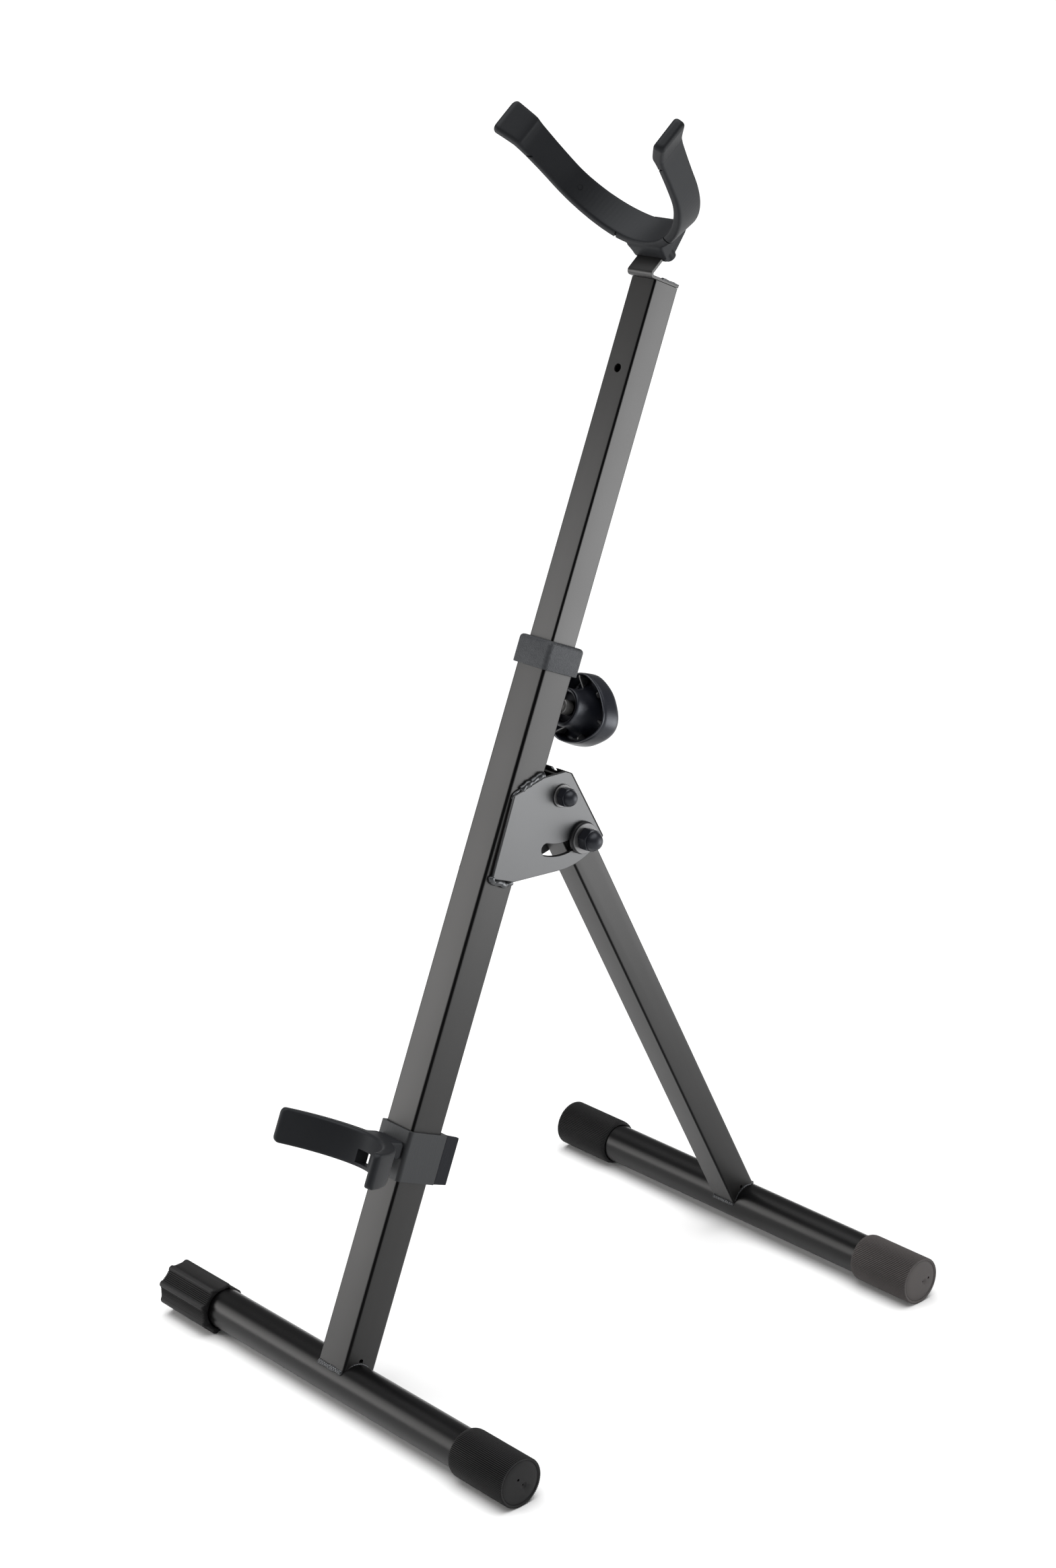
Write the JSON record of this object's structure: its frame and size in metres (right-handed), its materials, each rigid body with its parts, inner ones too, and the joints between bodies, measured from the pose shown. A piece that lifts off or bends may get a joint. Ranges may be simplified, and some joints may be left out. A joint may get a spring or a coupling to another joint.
{
  "type": "saxophone stand",
  "caption": "Folding stand for a saxophone: square telescopic upright with bell cradle and lower fork, hinged rear leg, two foot bars with rubber caps, all black",
  "frame": {"origin": "on the floor under the stand, half way between the front of the levelling cap and the back of the rear caps, half way across the width", "axes": "+X = to the right when the stand is seen from the front, +Y = backwards towards the rear foot, +Z = up"},
  "size_m": [0.3993, 0.4526, 0.9071],
  "materials": {
    "satin_black_paint": "satin black powder coat",
    "charcoal_plastic": "fine moulded grain",
    "knob_plastic": "soft gloss black",
    "cap_rubber": "matte rubber",
    "rubberised_plastic": "matte soft-touch rubber",
    "black_nylon": "plain",
    "zinc_steel": "bright zinc",
    "black_zinc_steel": "gloss black"
  },
  "bodies": {
    "upright": {"front_foot_tube": "satin_black_paint", "outer_tube": "satin_black_paint", "height_collar": "charcoal_plastic", "clamp_nut": "zinc_steel", "hinge_bracket": "satin_black_paint", "front_right_cap": "cap_rubber"},
    "levelling_foot": {"levelling_cap": "cap_rubber"},
    "rear_leg": {"rear_leg_tube": "satin_black_paint", "rear_foot_tube": "satin_black_paint", "rear_right_cap": "cap_rubber", "rear_left_cap": "cap_rubber", "pivot_bolt": "black_zinc_steel", "pivot_washer_right": "zinc_steel", "pivot_washer_left": "zinc_steel", "pivot_nut": "black_zinc_steel", "pivot_bush": "zinc_steel", "lock_bolt": "black_zinc_steel", "lock_disc_right": "black_nylon", "lock_disc_left": "black_nylon", "lock_washer_right": "zinc_steel", "lock_washer_left": "zinc_steel", "lock_nut": "black_zinc_steel", "lock_bush": "zinc_steel"},
    "mast": {"inner_tube": "satin_black_paint", "mast_glide": "black_nylon", "cradle_tab": "satin_black_paint", "bell_cradle": "rubberised_plastic", "cradle_pin": "zinc_steel"},
    "shoe": {"clamp_shoe": "black_nylon"},
    "knob": {"clamp_knob": "knob_plastic", "clamp_screw": "zinc_steel"},
    "lower_support": {"support_sleeve": "charcoal_plastic", "leg_clip": "charcoal_plastic", "support_fork": "rubberised_plastic", "fork_screw": "zinc_steel"}
  },
  "joints": [
    {"name": "leg_fold", "type": "hinge", "parent": "upright", "child": "rear_leg", "pos_m": [0, 0.01055, 0.42194], "axis": [-1, 0, 0], "range_deg": [0, 48.5]},
    {"name": "height_slide", "type": "slide", "parent": "upright", "child": "mast", "axis": [0, 0.399, 0.9169], "range_m": [-0.255, 0.07]},
    {"name": "shoe_slide", "type": "slide", "parent": "upright", "child": "shoe", "axis": [0, 0.9169, -0.399], "range_m": [0, 0.00187]},
    {"name": "knob_turn", "type": "hinge", "parent": "shoe", "child": "knob", "pos_m": [0, 0.01724, 0.48719], "axis": [0, 0.9169, -0.399], "range_deg": [0, 540]},
    {"name": "support_slide", "type": "slide", "parent": "upright", "child": "lower_support", "axis": [0, 0.399, 0.9169], "range_m": [-0.11, 0.18]},
    {"name": "cap_turn", "type": "hinge", "parent": "upright", "child": "levelling_foot", "pos_m": [-0.17, -0.20397, 0.01875], "axis": [1, 0, 0], "continuous": true}
  ],
  "couplings": [
    {"joint": "shoe_slide", "follows": "knob_turn", "m_per_rad": 0.00019894}
  ]
}
